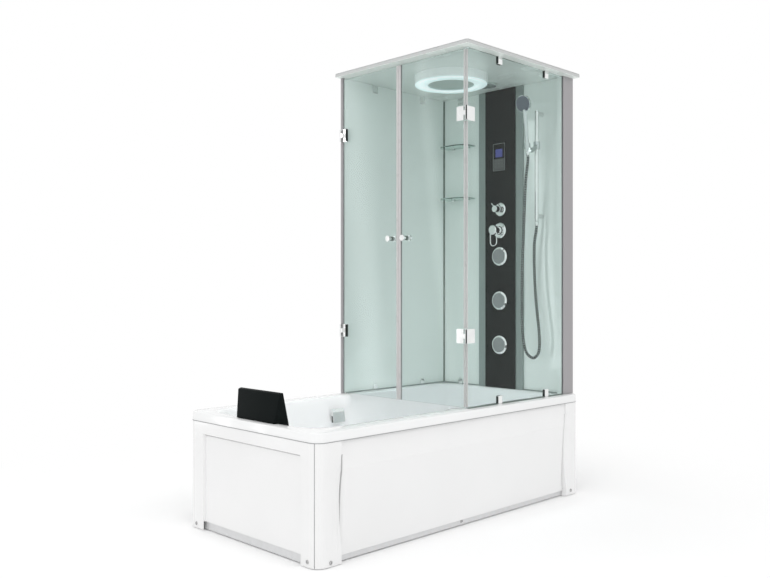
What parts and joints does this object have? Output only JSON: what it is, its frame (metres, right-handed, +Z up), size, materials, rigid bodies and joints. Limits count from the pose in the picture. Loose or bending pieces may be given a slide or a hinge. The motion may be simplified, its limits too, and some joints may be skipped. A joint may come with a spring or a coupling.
{
  "type": "tub and shower unit",
  "caption": "Bath tub with apron panels and a glass shower cabin with hinged doors, roof, shower column and hand shower at one end.",
  "frame": {"origin": "centre of the unit's footprint on the floor, under the middle of its length and depth", "axes": "+X along the tub from the headrest end to the shower end, +Y from the open front to the back wall, +Z up"},
  "size_m": [1.8, 0.9, 2.2],
  "materials": {
    "tub_acrylic": "gloss",
    "apron_acrylic": "gloss",
    "frame_steel": "satin",
    "chrome": "polished",
    "waste_plastic": "matte",
    "headrest_foam": "matte",
    "wall_glass": "gloss",
    "profile_aluminium": "satin",
    "roof_acrylic": "gloss",
    "rose_plastic": "gloss",
    "clear_glass": "gloss",
    "door_seal": "matte",
    "dark_glass": "gloss",
    "hose_metal": "polished"
  },
  "bodies": {
    "unit": {"tub_shell": "tub_acrylic", "front_apron": "apron_acrylic", "end_apron": "apron_acrylic", "support_frame": "frame_steel", "foot_1": "frame_steel", "foot_2": "frame_steel", "foot_3": "frame_steel", "foot_4": "frame_steel", "drain_flange": "chrome", "drain_trap": "waste_plastic", "overflow_cover": "chrome", "overflow_pipe": "waste_plastic", "headrest": "headrest_foam", "back_wall": "wall_glass", "end_wall": "wall_glass", "front_corner_profile": "profile_aluminium", "back_corner_profile": "profile_aluminium", "door_side_profile": "profile_aluminium", "roof": "roof_acrylic", "ceiling_ring": "chrome", "rain_rose": "rose_plastic", "speaker": "rose_plastic", "fixed_glass": "clear_glass", "glass_clamp_1": "chrome", "glass_clamp_2": "chrome", "glass_clamp_3": "chrome", "glass_clamp_4": "chrome", "back_upper_hinge_fixed_leaf": "chrome", "back_lower_hinge_fixed_leaf": "chrome", "front_upper_hinge_fixed_leaf": "chrome", "front_lower_hinge_fixed_leaf": "chrome", "column_housing": "profile_aluminium", "column_panel": "dark_glass", "jet_1": "chrome", "jet_2": "chrome", "jet_3": "chrome", "display": "dark_glass", "mixer_escutcheon": "chrome", "diverter_escutcheon": "chrome", "shelf_upper": "clear_glass", "shelf_lower": "clear_glass", "riser_rail": "chrome", "hose": "hose_metal"},
    "back_door": {"back_door_glass": "clear_glass", "back_door_seal": "door_seal", "back_door_knob": "chrome", "back_upper_hinge_moving_leaf": "chrome", "back_lower_hinge_moving_leaf": "chrome"},
    "front_door": {"front_door_glass": "clear_glass", "front_door_seal": "door_seal", "front_door_knob": "chrome", "front_upper_hinge_moving_leaf": "chrome", "front_lower_hinge_moving_leaf": "chrome"},
    "mixer_swivel": {"mixer_body": "chrome"},
    "mixer_handle": {"mixer_lever": "chrome"},
    "diverter": {"diverter_knob": "chrome"},
    "rail_slider": {"slider": "chrome"},
    "hand_shower": {"handset_holder": "chrome", "handset": "chrome"},
    "plug": {"drain_plug": "chrome"}
  },
  "joints": [
    {"name": "back_door_hinge", "type": "hinge", "parent": "unit", "child": "back_door", "pos_m": [0.008, 0.434, 1.349], "axis": [0, 0, 1], "range_deg": [-90, 0]},
    {"name": "front_door_hinge", "type": "hinge", "parent": "unit", "child": "front_door", "pos_m": [0.015, -0.417, 1.349], "axis": [0, 0, 1], "range_deg": [0, 90]},
    {"name": "mixer_turn", "type": "hinge", "parent": "unit", "child": "mixer_swivel", "pos_m": [0.7998, 0.005, 1.396], "axis": [1, 0, 0], "range_deg": [-45, 45]},
    {"name": "mixer_lift", "type": "hinge", "parent": "mixer_swivel", "child": "mixer_handle", "pos_m": [0.7518, 0.005, 1.396], "axis": [0, 1, 0], "range_deg": [0, 25]},
    {"name": "diverter_turn", "type": "hinge", "parent": "unit", "child": "diverter", "pos_m": [0.7998, 0.002, 1.513], "axis": [1, 0, 0], "range_deg": [-90, 90]},
    {"name": "rail_slide", "type": "slide", "parent": "unit", "child": "rail_slider", "axis": [0, 0, 1], "range_m": [-0.33, 0.08], "deforming": ["hose"]},
    {"name": "holder_tilt", "type": "hinge", "parent": "rail_slider", "child": "hand_shower", "pos_m": [0.72, -0.247, 1.8], "axis": [0, 1, 0], "range_deg": [-40, 8], "deforming": ["hose"]},
    {"name": "plug_lift", "type": "slide", "parent": "unit", "child": "plug", "axis": [0, 0, 1], "range_m": [0, 0.008]}
  ]
}
